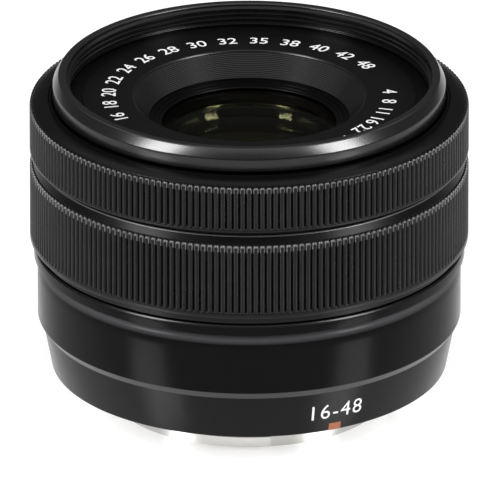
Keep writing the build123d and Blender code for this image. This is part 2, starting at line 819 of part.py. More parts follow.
with BuildPart() as front_followers:
    for angle in front_turns:
        spoke(follower_radius, angle, front_follower_height, filter_radius + seat_play,
              cam_radius - seat_play)
save(front_followers, "front_followers")

# Front cell on its ledge, with three stepped seats
cell_flange_top = cell_seat + cell_flange_thickness
baffle_bottom = name_ring_top - baffle_depth
glass_top = baffle_bottom - lip_depth - lip_height
front_seat_bottom = glass_top - front_seat
second_seat_bottom = front_seat_bottom - second_seat
third_seat_bottom = second_seat_bottom - third_seat
cell_bottom = third_seat_bottom - lip_height
cell_bore = baffle_mouth - baffle_wall
cell_radius = cell_bore + front_cell_wall
with BuildPart() as front_cell:
    turn([(third_glass_radius - cell_lip, cell_bottom), (cell_radius, cell_bottom),
          (cell_radius, cell_seat),
          (tube_bore - seat_play, cell_seat), (tube_bore - seat_play, cell_flange_top),
          (cell_bore, cell_flange_top), (cell_bore, glass_top),
          (front_glass_radius + glass_play, glass_top), (front_glass_radius + glass_play, front_seat_bottom),
          (second_glass_radius + glass_play, front_seat_bottom),
          (second_glass_radius + glass_play, second_seat_bottom),
          (third_glass_radius + glass_play, second_seat_bottom),
          (third_glass_radius + glass_play, third_seat_bottom),
          (third_glass_radius - cell_lip, third_seat_bottom)])
save(front_cell, "front_cell")

with BuildPart() as front_element:
    glass(front_glass_radius, front_seat_bottom, glass_top - lip_height, lip_height * 3, lip_height * 3)
save(front_element, "front_element")

with BuildPart() as second_element:
    glass(second_glass_radius, second_seat_bottom, front_seat_bottom - lip_height, 0, lip_height * 2)
save(second_element, "second_element")

with BuildPart() as third_element:
    glass(third_glass_radius, third_seat_bottom, second_seat_bottom - lip_height, lip_height, 0)
save(third_element, "third_element")

# Conical baffle that also holds the front element, and the name ring round it
with BuildPart() as front_baffle:
    turn([(baffle_mouth, name_ring_top), (baffle_throat, baffle_bottom),
          (lip_radius, baffle_bottom - lip_depth), (lip_radius, glass_top),
          (cell_bore - seat_play, glass_top), (cell_bore - seat_play, cell_flange_top),
          (name_ring_bore - seat_play, cell_flange_top), (name_ring_bore - seat_play, name_ring_top)])
save(front_baffle, "front_baffle")

with BuildPart() as name_ring:
    turn([(name_ring_bore, cell_flange_top), (name_ring_radius, cell_flange_top),
          (name_ring_radius, name_ring_top - name_step),
          (name_ring_radius - name_step_width, name_ring_top - name_step),
          (name_ring_radius - name_step_width, name_ring_top), (name_ring_bore, name_ring_top)])
save(name_ring, "name_ring")

# Focus group: carriage on two rods, moved by a lead screw
nut_bottom = plate_thickness + nut_lift
screw_place = at_angle(rod_circle, focus_screw_turn)
screw_bottom = plate_thickness + focus_motor_height + screw_gap
with BuildPart() as guide_rods:
    for angle in rod_turns:
        disc(rod_radius, plate_thickness, floor_bottom, at_angle(rod_circle, angle))
save(guide_rods, "guide_rods")

with BuildPart() as focus_motor:
    disc(focus_motor_radius, plate_thickness, plate_thickness + focus_motor_height, screw_place)
save(focus_motor, "focus_motor")

with BuildPart() as lead_screw:
    disc(rod_radius, screw_bottom, floor_bottom - screw_gap, screw_place)
save(lead_screw, "lead_screw")

focus_cell_radius = focus_glass_radius + glass_play + focus_cell_wall
with BuildPart() as focus_carriage:
    disc(focus_cell_radius, nut_bottom, nut_bottom + nut_height)
    for angle in (*rod_turns, focus_screw_turn):
        place = at_angle(rod_circle, angle)
        with BuildSketch(Plane.XY.offset(nut_bottom)):
            with Locations(Location((*at_angle(rod_circle / 2, angle), 0), (0, 0, angle))):
                Rectangle(rod_circle, arm_width)
        extrude(amount=nut_height)
        disc(rod_radius + nut_wall, nut_bottom, nut_bottom + nut_height, place)
    for angle in rod_turns:
        disc(rod_radius + running_play, nut_bottom - cut, nut_bottom + nut_height + cut,
             at_angle(rod_circle, angle), mode=Mode.SUBTRACT)
    disc(rod_radius + screw_play, nut_bottom - cut, nut_bottom + nut_height + cut, screw_place,
         mode=Mode.SUBTRACT)
    disc(focus_glass_radius + glass_play, nut_bottom - cut, nut_bottom + nut_height + cut,
         mode=Mode.SUBTRACT)
save(focus_carriage, "focus_carriage")

with BuildPart() as focus_element:
    glass(focus_glass_radius, nut_bottom, nut_bottom + nut_height, 0, glass_play * 10)
save(focus_element, "focus_element")

# Stabiliser: frame and magnets fixed to the middle barrel, guide and carriage that float
frame_top = middle_floor_top + frame_height
coil_bottom = middle_floor_top + magnet_height + coil_gap
carriage_bottom = coil_bottom + coil_height
carriage_top = carriage_bottom + carriage_thickness
guide_bottom = carriage_top + guide_gap
with BuildPart() as stabiliser_frame:
    ring(frame_radius, frame_radius - frame_wall, middle_floor_top, frame_top)
save(stabiliser_frame, "stabiliser_frame")

with BuildPart() as stabiliser_magnets:
    for angle in magnet_turns:
        with BuildSketch(Plane.XY.offset(middle_floor_top)):
            with Locations(Location((*at_angle(magnet_circle, angle), 0), (0, 0, angle))):
                Rectangle(magnet_width, magnet_length)
        extrude(amount=magnet_height)
save(stabiliser_magnets, "stabiliser_magnets")

with BuildPart() as stabiliser_coils:
    for angle in magnet_turns:
        with BuildSketch(Plane.XY.offset(coil_bottom)):
            with Locations(Location((*at_angle(magnet_circle, angle), 0), (0, 0, angle))):
                SlotOverall(magnet_length, magnet_width + coil_wall, rotation=90)
                SlotOverall(magnet_length - 2 * coil_wall, magnet_width - coil_wall, rotation=90,
                            mode=Mode.SUBTRACT)
        extrude(amount=coil_height)
save(stabiliser_coils, "stabiliser_coils")

tube_radius = stabiliser_glass_radius + glass_play + carriage_wall
tube_bottom = carriage_bottom - carriage_tube_drop
tube_top = carriage_top + carriage_tube_rise
with BuildPart() as stabiliser_carriage:
    disc(tube_radius, tube_bottom, tube_top)
    for angle in carriage_turns:
        with BuildSketch(Plane.XY.offset(carriage_bottom)):
            arm_middle = at_angle((magnet_circle + carriage_lug) / 2, angle)
            with Locations(Location((*arm_middle, 0), (0, 0, angle))):
                Rectangle(magnet_circle + carriage_lug, magnet_length + coil_margin)
        extrude(amount=carriage_thickness)
    disc(stabiliser_glass_radius + glass_play, tube_bottom - cut, tube_top + cut, mode=Mode.SUBTRACT)
save(stabiliser_carriage, "stabiliser_carriage")

tube_middle = (tube_bottom + tube_top) / 2
doublet_rise = 0.6
with BuildPart() as stabiliser_rear_element:
    glass(stabiliser_glass_radius, tube_bottom, tube_middle - cement_gap, doublet_rise, 0)
save(stabiliser_rear_element, "stabiliser_rear_element")

with BuildPart() as stabiliser_front_element:
    glass(stabiliser_glass_radius, tube_middle, tube_top, 0, doublet_rise)
save(stabiliser_front_element, "stabiliser_front_element")

with BuildPart() as stabiliser_guide:
    ring(guide_radius, guide_radius - guide_width, guide_bottom, guide_bottom + guide_height)
save(stabiliser_guide, "stabiliser_guide")

# Iris: base with pivot pins, seven blades, drive ring with cam slots, motor
iris_floor_top = frame_top + iris_floor
blade_turn = 360 / blade_count
ring_bottom = iris_floor_top + iris_ring_lift
iris_top = iris_floor_top + iris_height - iris_floor
with BuildPart() as iris_base:
    turn([(iris_bore, frame_top), (frame_radius, frame_top), (frame_radius, iris_top),
          (frame_radius - frame_wall, iris_top), (frame_radius - frame_wall, iris_floor_top),
          (iris_bore, iris_floor_top)])
    for k in range(blade_count):
        disc(pivot_radius, iris_floor_top, ring_bottom - iris_pin_play,
             at_angle(pivot_circle, k * blade_turn))
save(iris_base, "iris_base")


def lever_point(swing, ring_swing):
    """Where a blade's driving pin stands, seen from the drive ring."""
    x = pivot_circle - lever * sin(radians(swing))
    y = lever * cos(radians(swing))
    return at_angle(hypot(x, y), degrees(atan2(y, x)) - ring_swing)


for k in range(blade_count):
    layer = iris_floor_top + blade_first + k * blade_pitch
    with BuildPart() as blade:
        with BuildSketch(Plane.XY.offset(layer)):
            with BuildLine():
                inside = CenterArc((0, 0), blade_inner, blade_start, blade_span)
                outside = CenterArc((0, 0), blade_outer, blade_start, blade_span)
                Line(inside @ 0, outside @ 0)
                Line(inside @ 1, outside @ 1)
            make_face()
            with BuildSketch(mode=Mode.PRIVATE) as hub:
                with Locations((pivot_circle, 0), (pivot_circle, lever),
                               (blade_outer - hub_radius, lever / 2)):
                    Circle(hub_radius)
            add(make_hull(hub.sketch.edges(), mode=Mode.PRIVATE))
            with Locations((pivot_circle, 0)):
                Circle(pivot_radius + running_play, mode=Mode.SUBTRACT)
        extrude(amount=blade_thickness)
        disc(pivot_radius, layer, ring_bottom + iris_ring_height, (pivot_circle, lever))
    blade.part = blade.part.rotate(Axis.Z, k * blade_turn)
    blade.part.label = f"iris_blade_{k + 1}"
    export_step(blade.part, f"parts/iris_blade_{k + 1}.step")

with BuildPart() as iris_ring:
    ring(iris_ring_radius, iris_ring_bore, ring_bottom, ring_bottom + iris_ring_height)
    with BuildSketch(Plane.XY.offset(ring_bottom - cut)):
        with PolarLocations(0, blade_count):
            with BuildLine(mode=Mode.PRIVATE) as track:
                ThreePointArc(lever_point(0, 0), lever_point(blade_swing / 2, iris_ring_swing / 2),
                              lever_point(blade_swing, iris_ring_swing))
            SlotArc(track.edges()[0], 2 * (pivot_radius + iris_pin_play))
    extrude(amount=iris_ring_height + 2 * cut, mode=Mode.SUBTRACT)
save(iris_ring, "iris_ring")

with BuildPart() as iris_motor:
    disc(iris_motor_radius, iris_floor_top, iris_floor_top + iris_motor_height,
         at_angle(iris_motor_circle, iris_motor_turn))
save(iris_motor, "iris_motor")

# Middle cell, whose flange covers the iris, with its two elements
cell_foot = iris_top
middle_cell_radius = middle_glass_radius + glass_play + middle_cell_wall
with BuildPart() as middle_cell:
    turn([(middle_glass_radius + glass_play, cell_foot), (frame_radius, cell_foot),
          (frame_radius, cell_foot + middle_flange_height),
          (middle_cell_radius, cell_foot + middle_flange_height),
          (middle_cell_radius, cell_foot + middle_cell_height),
          (middle_glass_radius + glass_play, cell_foot + middle_cell_height)])
save(middle_cell, "middle_cell")

half_cell = middle_cell_height / 2
with BuildPart() as middle_rear_element:
    glass(middle_glass_radius, cell_foot, cell_foot + half_cell - lip_height, 0, lip_height * 2)
save(middle_rear_element, "middle_rear_element")

with BuildPart() as middle_front_element:
    glass(middle_glass_radius, cell_foot + half_cell, cell_foot + middle_cell_height - lip_height,
          -lip_height, 0)
save(middle_front_element, "middle_front_element")
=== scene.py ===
import json
import math

import bmesh
import bpy
from mathutils import Matrix, Vector


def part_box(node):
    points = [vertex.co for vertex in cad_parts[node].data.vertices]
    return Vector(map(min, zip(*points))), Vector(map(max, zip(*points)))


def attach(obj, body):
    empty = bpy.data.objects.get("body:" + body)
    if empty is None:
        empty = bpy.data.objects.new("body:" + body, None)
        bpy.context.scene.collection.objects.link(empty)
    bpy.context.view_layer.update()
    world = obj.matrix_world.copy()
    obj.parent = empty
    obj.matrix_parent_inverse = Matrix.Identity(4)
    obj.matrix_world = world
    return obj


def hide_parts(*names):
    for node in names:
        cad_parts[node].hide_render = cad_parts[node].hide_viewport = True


# A compact retracting zoom lens, dressed for the render.
# Sizes are in millimetres, and MM turns them into the metres of the scene.
MM = 0.001
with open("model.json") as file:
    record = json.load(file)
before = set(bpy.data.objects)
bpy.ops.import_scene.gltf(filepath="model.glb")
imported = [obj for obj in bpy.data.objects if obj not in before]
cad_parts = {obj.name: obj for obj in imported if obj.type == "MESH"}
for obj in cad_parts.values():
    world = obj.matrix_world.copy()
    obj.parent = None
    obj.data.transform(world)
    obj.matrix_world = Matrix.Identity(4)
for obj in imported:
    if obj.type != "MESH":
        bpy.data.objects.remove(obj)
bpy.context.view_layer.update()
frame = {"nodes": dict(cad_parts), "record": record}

FRONT_BODY = "front_body"
FIXED_BODY = "fixed_barrel"
FOCUS_BODY = "focus_ring_body"
ZOOM_BODY = "zoom_ring_body"


def node_top(node):
    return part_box(node)[1][2] / MM


def node_bottom(node):
    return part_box(node)[0][2] / MM


def node_radius(node):
    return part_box(node)[1][0] / MM


# Heights and radii taken from the frame, in millimetres
LENS_FRONT = node_top("front_barrel")
RIM_RADIUS = node_radius("front_barrel")
FRONT_TUBE_BOTTOM = node_bottom("front_barrel")
FLOOR = node_bottom("mount_plate")
RING_RADIUS = node_radius("focus_ring")
FOCUS_TOP = node_top("focus_ring")
FOCUS_BOTTOM = node_bottom("focus_ring")
ZOOM_TOP = node_top("zoom_ring")
ZOOM_SKIRT = node_bottom("zoom_ring")
COLLAR_TOP = node_top("rear_collar")
COLLAR_RADIUS = node_radius("rear_collar")
SHELL_TOP = node_top("rear_barrel")
SHELL_BOTTOM = node_bottom("rear_barrel")
BAND_RADIUS = node_radius("rear_barrel")
NAME_TOP = node_top("name_ring")
NAME_RADIUS = node_radius("name_ring")
NAME_BOTTOM = node_bottom("name_ring")
BAFFLE_BOTTOM = node_bottom("front_baffle")
BAFFLE_RADIUS = node_radius("front_baffle")


# Node helpers for materials
def new_material(name):
    mat = bpy.data.materials.new(name)
    mat.use_nodes = True
    tree = mat.node_tree
    shader = tree.nodes["Principled BSDF"]
    return mat, tree, shader


def set_values(shader, **values):
    for key, value in values.items():
        shader.inputs[key.replace("_", " ")].default_value = value


def grain(tree, size, detail=3.0, stretch=(1, 1, 1)):
    """Noise in the object's own coordinates, its feature size in millimetres."""
    coords = tree.nodes.new("ShaderNodeTexCoord")
    mapping = tree.nodes.new("ShaderNodeMapping")
    mapping.inputs["Scale"].default_value = stretch
    noise = tree.nodes.new("ShaderNodeTexNoise")
    noise.inputs["Scale"].default_value = 1 / (size * MM)
    noise.inputs["Detail"].default_value = detail
    tree.links.new(coords.outputs["Object"], mapping.inputs["Vector"])
    tree.links.new(mapping.outputs["Vector"], noise.inputs["Vector"])
    return noise.outputs["Fac"]


def ramp_value(tree, source, low, high):
    """Maps 0..1 noise, mostly 0.3..0.7, to a range of values."""
    remap = tree.nodes.new("ShaderNodeMapRange")
    remap.inputs["From Min"].default_value = 0.3
    remap.inputs["From Max"].default_value = 0.7
    remap.inputs["To Min"].default_value = low
    remap.inputs["To Max"].default_value = high
    tree.links.new(source, remap.inputs["Value"])
    return remap.outputs["Result"]


def ramp_colour(tree, source, low, high):
    mix = tree.nodes.new("ShaderNodeMix")
    mix.data_type = "RGBA"
    mix.inputs["A"].default_value = (*low, 1)
    mix.inputs["B"].default_value = (*high, 1)
    tree.links.new(source, mix.inputs["Factor"])
    return mix.outputs["Result"]


def add_bump(tree, shader, source, depth, strength=1.0):
    bump = tree.nodes.new("ShaderNodeBump")
    bump.inputs["Distance"].default_value = depth * MM
    bump.inputs["Strength"].default_value = strength
    tree.links.new(source, bump.inputs["Height"])
    tree.links.new(bump.outputs["Normal"], shader.inputs["Normal"])


def plastic(name, colour, roughness, size, depth, specular=0.3, spread=0.25):
    """Moulded plastic with a slightly uneven gloss and a grain of this size and depth in millimetres."""
    mat, tree, shader = new_material(name)
    set_values(shader, Specular_IOR_Level=specular)
    fine = grain(tree, size)
    broad = grain(tree, size * 40, detail=2.0)
    low = tuple(c * (1 - spread) for c in colour)
    high = tuple(c * (1 + spread) for c in colour)
    tree.links.new(ramp_colour(tree, ramp_value(tree, fine, 0, 1), low, high), shader.inputs["Base Color"])
    rough = ramp_value(tree, broad, roughness * 0.9, roughness * 1.1)
    tree.links.new(rough, shader.inputs["Roughness"])
    add_bump(tree, shader, fine, depth)
    return mat


def paint_rising_highlight(mat, colour, low, high):
    """Paints a highlight into a plastic's colour: it rises to a lighter one between two heights, in
    millimetres.
    """
    tree = mat.node_tree
    base = tree.nodes["Principled BSDF"].inputs["Base Color"]
    coords = tree.nodes.new("ShaderNodeTexCoord")
    axes = tree.nodes.new("ShaderNodeSeparateXYZ")
    remap = tree.nodes.new("ShaderNodeMapRange")
    remap.inputs["From Min"].default_value = low * MM
    remap.inputs["From Max"].default_value = high * MM
    mix = tree.nodes.new("ShaderNodeMix")
    mix.data_type = "RGBA"
    mix.inputs["B"].default_value = (*colour, 1)
    tree.links.new(coords.outputs["Object"], axes.inputs["Vector"])
    tree.links.new(axes.outputs["Z"], remap.inputs["Value"])
    tree.links.new(remap.outputs["Result"], mix.inputs["Factor"])
    tree.links.new(base.links[0].from_socket, mix.inputs["A"])
    tree.links.new(mix.outputs["Result"], base)


def metal(name, colour, roughness, stretch=(1, 1, 12), depth=0.002, size=0.12):
    """Turned or plated metal with fine tool marks of this size and depth in millimetres."""
    mat, tree, shader = new_material(name)
    set_values(shader, Metallic=1.0)
    marks = grain(tree, size, detail=4.0, stretch=stretch)
    low = tuple(c * 0.88 for c in colour)
    tree.links.new(ramp_colour(tree, ramp_value(tree, marks, 0, 1), low, colour), shader.inputs["Base Color"])
    tree.links.new(ramp_value(tree, marks, roughness * 0.75, roughness * 1.25), shader.inputs["Roughness"])
    add_bump(tree, shader, marks, depth)
    return mat


def optical(name, tint, coating, ior=1.52):
    """Coated optical glass: clear, with a faint coloured reflection."""
    mat, tree, shader = new_material(name)
    set_values(shader, Transmission_Weight=1.0, IOR=ior)
    shader.inputs["Specular Tint"].default_value = (*coating, 1)
    haze = grain(tree, 4.0, detail=1.0)
    tree.links.new(ramp_value(tree, haze, 0.0, 0.002), shader.inputs["Roughness"])
    low = tuple(c * 0.94 for c in tint)
    tree.links.new(ramp_colour(tree, ramp_value(tree, haze, 0, 1), low, tint), shader.inputs["Base Color"])
    return mat


# One material for each slot of the CAD nodes. After the name a plastic gives its colour, roughness, size
# and depth of grain, specular level and spread of colour, a metal its colour and roughness, and a glass
# its tint, the tint of its coating and its refractive index.
MATERIALS = {
    "black_shell": plastic("satin_black_shell", (0.0012, 0.0012, 0.0014), 0.19, 0.09, 0.0007, 0.07),
    "black_ring": plastic("satin_black_ring", (0.0026, 0.0026, 0.0029), 0.30, 0.10, 0.0010, 0.16),
    "black_inner": plastic("dead_matt_black", (0.0050, 0.0050, 0.0052), 0.78, 0.14, 0.0050, 0.06),
    "felt": plastic("black_felt", (0.0060, 0.0060, 0.0060), 0.95, 0.05, 0.0100, 0.05),
    "mount_metal": metal("plated_mount", (0.62, 0.61, 0.59), 0.24),
    "screw_steel": metal("screw_steel", (0.40, 0.40, 0.41), 0.32),
    "gold": metal("gold_contacts", (0.86, 0.64, 0.30), 0.22),
    "steel": metal("ground_steel", (0.52, 0.52, 0.53), 0.30),
    "cam_metal": metal("anodised_cam", (0.045, 0.045, 0.050), 0.42),
    "copper": metal("coil_wire", (0.70, 0.33, 0.16), 0.35, stretch=(1, 1, 1)),
    "blade_black": plastic("blade_black", (0.0100, 0.0100, 0.0104), 0.60, 0.14, 0.0020, 0.25),
    "white_gear": plastic("gear_plastic", (0.62, 0.61, 0.56), 0.45, 0.20, 0.0020, 0.4, 0.03),
    "board_green": plastic("circuit_board", (0.012, 0.060, 0.028), 0.35, 0.30, 0.0050, 0.4, 0.2),
    "glass": optical("coated_glass", (0.74, 0.78, 0.60), (0.22, 0.23, 0.14), 1.36),
}
# Further materials for parts of the dressed pieces
RIM_SATIN = plastic("satin_rim", (0.0040, 0.0040, 0.0046), 0.24, 0.16, 0.0030, 0.36, 0.35)
RIM_BEVEL = plastic("satin_rim_bevel", (0.0060, 0.0060, 0.0068), 0.22, 0.16, 0.0045, 0.85, 0.35)
# A light grey, glossier than the rings, for the ribs' upper ends, their flanks there and the zoom ring's
# bevel edge: a painted highlight.
RING_EDGE_HIGHLIGHT = plastic("ring_edge_painted_highlight", (0.0700, 0.0700, 0.0740), 0.32, 0.10, 0.0010, 0.80, 0.35)
# The cone's black is painted lighter than the band's: painted light.
CONE_LIGHTER_BLACK = plastic("satin_black_cone_painted_light", (0.0026, 0.0026, 0.0029), 0.22, 0.09, 0.0008, 0.12)
# A lighter, glossier black for the chamfer and the collar's edge; the lighter colour is a painted highlight.
EDGE_HIGHLIGHT_BLACK = plastic("satin_black_edge_painted_highlight", (0.0060, 0.0060, 0.0066), 0.22, 0.09, 0.0008, 0.36)
# The shoulder's black rises to a light grey towards its top edge: a painted highlight.
SHOULDER_HIGHLIGHT_BLACK = plastic("satin_black_shoulder_painted_highlight", (0.0012, 0.0012, 0.0014), 0.22, 0.09, 0.0007, 0.07)
paint_rising_highlight(SHOULDER_HIGHLIGHT_BLACK, (0.105, 0.105, 0.111), SHELL_TOP - 1.35, SHELL_TOP - 0.10)
NAME_BLACK = plastic("name_ring_black", (0.0032, 0.0032, 0.0036), 0.40, 0.10, 0.0015, 0.12)
BAFFLE_BLACK = plastic("baffle_black", (0.0040, 0.0041, 0.0046), 0.30, 0.10, 0.0015, 0.50)
# A darker black for the deep throat of the baffle: painted shade.
THROAT_SHADE_BLACK = plastic("throat_black_painted_shade", (0.0016, 0.0016, 0.0017), 0.34, 0.10, 0.0020, 0.10)
FRONT_GLASS = optical("front_glass", (0.66, 0.64, 0.52), (0.30, 0.12, 0.10), 1.12)
PRINT_WHITE = plastic("print_white", (0.82, 0.82, 0.82), 0.50, 0.06, 0.0010, 0.3, 0.04)
MARK_ORANGE = plastic("mark_orange", (0.36, 0.12, 0.060), 0.45, 0.06, 0.0010, 0.3, 0.05)


def dress_nodes():
    """Gives every CAD node its slot's material and smooth shading with crisp edges."""
    slots = {row["node"]: row["material_slot"] for row in frame["record"]["subparts"]}
    for name, obj in frame["nodes"].items():
        obj.data.materials.clear()
        obj.data.materials.append(MATERIALS[slots[name]])
        smooth(obj, 28)


def smooth(obj, angle):
    obj.data.polygons.foreach_set("use_smooth", [True] * len(obj.data.polygons))
    obj.data.set_sharp_from_angle(angle=math.radians(angle))


def new_object(name, vertices, faces, material, body, slot, *nodes, angle=32):
    """A mesh piece from points in millimetres, riding on a body and standing for CAD nodes."""
    mesh = bpy.data.meshes.new(name)
    mesh.from_pydata([Vector(v) * MM for v in vertices], [], faces)
    mesh.validate()
    obj = bpy.data.objects.new(name, mesh)
    bpy.context.scene.collection.objects.link(obj)
    edit = bmesh.new()
    edit.from_mesh(mesh)
    bmesh.ops.recalc_face_normals(edit, faces=edit.faces)
    edit.to_mesh(mesh)
    edit.free()
    mesh.materials.append(material)
    smooth(obj, angle)
    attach(obj, body)
    if nodes:
        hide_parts(*nodes)
    return obj


def rounded(points, size, steps=3):
    """A closed half section with its corners rounded; a corner may carry its own size as a third value."""
    result = []
    count = len(points)
    for k in range(count):
        here = Vector(points[k][:2])
        before = Vector(points[k - 1][:2])
        after = Vector(points[(k + 1) % count][:2])
        radius = points[k][2] if len(points[k]) > 2 else size
        back, on = before - here, after - here
        reach = min(radius, back.length * 0.45, on.length * 0.45)
        if reach < 0.002:
            result.append(tuple(here))
            continue
        start = here + back.normalized() * reach
        end = here + on.normalized() * reach
        for step in range(steps + 1):
            t = step / steps
            result.append(tuple(start * (1 - t) ** 2 + here * (2 * t * (1 - t)) + end * t**2))
    return result


def ring_faces(rows, columns):
    """Quads of a closed section turned all the way round."""
    faces = []
    for row in range(rows):
        upper = (row + 1) % rows
        for column in range(columns):
            beside = (column + 1) % columns
            faces.append((row * columns + column, row * columns + beside,
                          upper * columns + beside, upper * columns + column))
    return faces


def lathe(name, section, material, body, slot, *nodes, size=0.08, segments=288, angle=32):
    """A piece turned about the optical axis from its closed half section."""
    profile = rounded(section, size)
    vertices = []
    for radius, height in profile:
        for k in range(segments):
            turn = 2 * math.pi * k / segments
            vertices.append((radius * math.cos(turn), radius * math.sin(turn), height))
    faces = ring_faces(len(profile), segments)
    return new_object(name, vertices, faces, material, body, slot, *nodes, angle=angle)


def paint(obj, material, chosen):
    """Gives a further material to the faces that chosen(face) picks."""
    obj.data.materials.append(material)
    index = len(obj.data.materials) - 1
    for face in obj.data.polygons:
        if chosen(face):
            face.material_index = index


# Ribbed rings
RIBS = 208
POINTS_PER_RIB = 12
RIB_DEPTH = 0.45
RIB_ROOT = RING_RADIUS - RIB_DEPTH
RIB_FULLNESS = 0.55    # the lower, the broader a rib's crest
RIB_ARCH = 0.50    # how much further a rib's crest runs than its foot
RIB_RUN = 2.0    # from the ends of the ribs to the rows that keep them straight
# The upper ends of the ribs: the share of their depth that is left, and the drop from the top
RIB_END_ROWS = ((1, 0.34), (0.93, 0.22), (0.80, 0.12), (0.50, 0.03), (0.12, 0), (0, 0))
RING_BORE = 29.98


def rib_height(share):
    """0 in the groove between two ribs and 1 on the crest, over one rib."""
    return abs(math.cos(math.pi * share)) ** RIB_FULLNESS


def rib_arch(share):
    """How far the end of a rib stays back at its sides."""
    side = min(1.0, abs(2 * ((share + 0.5) % 1) - 1))
    return RIB_ARCH * (1 - math.sqrt(1 - side**2))


def plain(radius, height):
    """A row of a ring that has no ribs."""
    return lambda share: (radius, height)


def ribs(height, shown=1.0):
    """A row across the ribs, shown from 0, a plain cylinder over their crests, to 1."""
    return lambda share: (RING_RADIUS - RIB_DEPTH * (1 - rib_height(share)) * shown, height)


def rib_ends(height):
    """Rows over the rounded upper ends of the ribs, down to the plain ring that they stand on."""
    def row(left, drop):
        return lambda share: (RIB_ROOT + RIB_DEPTH * rib_height(share) * left,
                              height - drop - rib_arch(share))
    return [row(left, drop) for left, drop in RIB_END_ROWS]


def rib_foot(bottom, lip_top, bevel):
    """The plain lip under the ribs, a fine groove, and the first rows of the ribs."""
    groove = 0.03
    return [
        plain(RING_RADIUS - bevel, bottom),
        plain(RING_RADIUS, bottom + bevel),
        plain(RING_RADIUS, lip_top - 0.08),
        plain(RING_RADIUS - groove, lip_top),
        ribs(lip_top + 0.10, 0.8),
        ribs(lip_top + 0.22),
    ]


def ribbed(name, rows, highlight_rows, flanks, body, *nodes):
    """A ring from rows that run from the bore's foot out, up and back to the bore.

    The highlight rows, and the sides of the ribs in the row of flanks, are painted a light grey: a painted
    highlight.
    """
    columns = RIBS * POINTS_PER_RIB
    vertices = []
    for row in rows:
        for k in range(columns):
            turn = 2 * math.pi * k / columns
            radius, height = row(k / POINTS_PER_RIB)
            vertices.append((radius * math.cos(turn), radius * math.sin(turn), height))
    ring = new_object(name, vertices, ring_faces(len(rows), columns), MATERIALS["black_ring"],
                      body, "black_ring", *nodes, angle=75)

    # Picks the faces that get the light grey, a painted highlight.
    def gets_painted_highlight(face):
        row = min(face.vertices) // columns
        side = abs(face.index % POINTS_PER_RIB - (POINTS_PER_RIB - 1) / 2)
        return row in highlight_rows or row == flanks and 1 < side < 3

    paint(ring, RING_EDGE_HIGHLIGHT, gets_painted_highlight)
    return ring


def make_focus_ring():
    """A lip, the ribs, and a flat slope up to the front opening."""
    lip = 0.42
    lip_bevel = 0.11
    slope = 0.70
    end_run = 0.50    # from the arches of the ribs down to their last full row
    mouth = 28.60
    mouth_depth = 1.0
    mouth_edge = 0.06
    step = 0.05
    lip_top = FOCUS_BOTTOM + lip
    shoulder = FOCUS_TOP - slope
    rows = [plain(RING_BORE, FOCUS_BOTTOM + step)]
    rows += rib_foot(FOCUS_BOTTOM, lip_top, lip_bevel)
    rows += [ribs(lip_top + RIB_RUN), ribs(shoulder - RIB_RUN)]
    ends = len(rows)
    rows += [ribs(shoulder - RIB_ARCH - end_run)] + rib_ends(shoulder)
    rows += [
        plain(RIB_ROOT, shoulder + 0.02),
        plain(RIB_ROOT - step, shoulder + 0.06),
        plain(mouth + 2 * mouth_edge, FOCUS_TOP - 0.005),
        plain(mouth, FOCUS_TOP - mouth_edge),
        plain(mouth, FOCUS_TOP - mouth_depth),
        plain(RING_BORE, FOCUS_TOP - mouth_depth - step),
    ]
    # The rows over the rib ends get the light grey: a painted highlight.
    highlight_rows = range(ends + 1, ends + 3)
    return ribbed("focus_ring_ribbed", rows, highlight_rows, ends, FOCUS_BODY, "focus_ring")


def make_zoom_ring():
    """A recessed skirt above the collar, a lip, the ribs, and a bevel; the bevel's edge and the ribs' upper
    ends are painted a light grey, a painted highlight.
    """
    collar_gap = 1.18
    lip = 0.87
    lip_bevel = 0.13
    skirt = 30.35
    bevel = 1.25    # its height in front of the ribs
    end_run = 0.58    # from the arches of the ribs down to their last full row
    # The bevel's upper edge: how far each row lies inside the root of the ribs, and below the top
    edge_rows = ((0.41, 0.27), (0.44, 0.20), (0.47, 0.13), (0.60, 0.04), (0.68, 0))
    bottom = COLLAR_TOP + collar_gap
    lip_top = bottom + lip
    bevel_foot = ZOOM_TOP - bevel
    rows = [plain(RING_BORE, ZOOM_SKIRT), plain(skirt, ZOOM_SKIRT), plain(skirt, bottom + 0.02)]
    rows += rib_foot(bottom, lip_top, lip_bevel)
    rows += [ribs(lip_top + 1.5 * RIB_RUN), ribs(bevel_foot - RIB_RUN)]
    ends = len(rows)
    rows += [ribs(bevel_foot - RIB_ARCH - end_run)] + rib_ends(bevel_foot)
    rows += [plain(RIB_ROOT, bevel_foot + 0.04), plain(RIB_ROOT - 0.03, bevel_foot + 0.11)]
    edge = len(rows)
    rows += [plain(RIB_ROOT - inside, ZOOM_TOP - below) for inside, below in edge_rows]
    rows.append(plain(RING_BORE, ZOOM_TOP))
    # The rib ends and the bevel's edge get the light grey: a painted highlight.
    highlight_rows = (ends + 1, ends + 2, ends + 3, edge + 1, edge + 2)
    return ribbed("zoom_ring_ribbed", rows, highlight_rows, ends, ZOOM_BODY, "zoom_ring")


# Rear barrel and collar. A corner's third value is the size of its rounding.
CONE_FOOT = (28.25, SHELL_BOTTOM)
CONE_HEAD = (29.50, SHELL_BOTTOM + 6.50)
CONE_CHAMFER = 1.10
SHELL_BORE = 29.15
SHOULDER_HEIGHT = 2.10


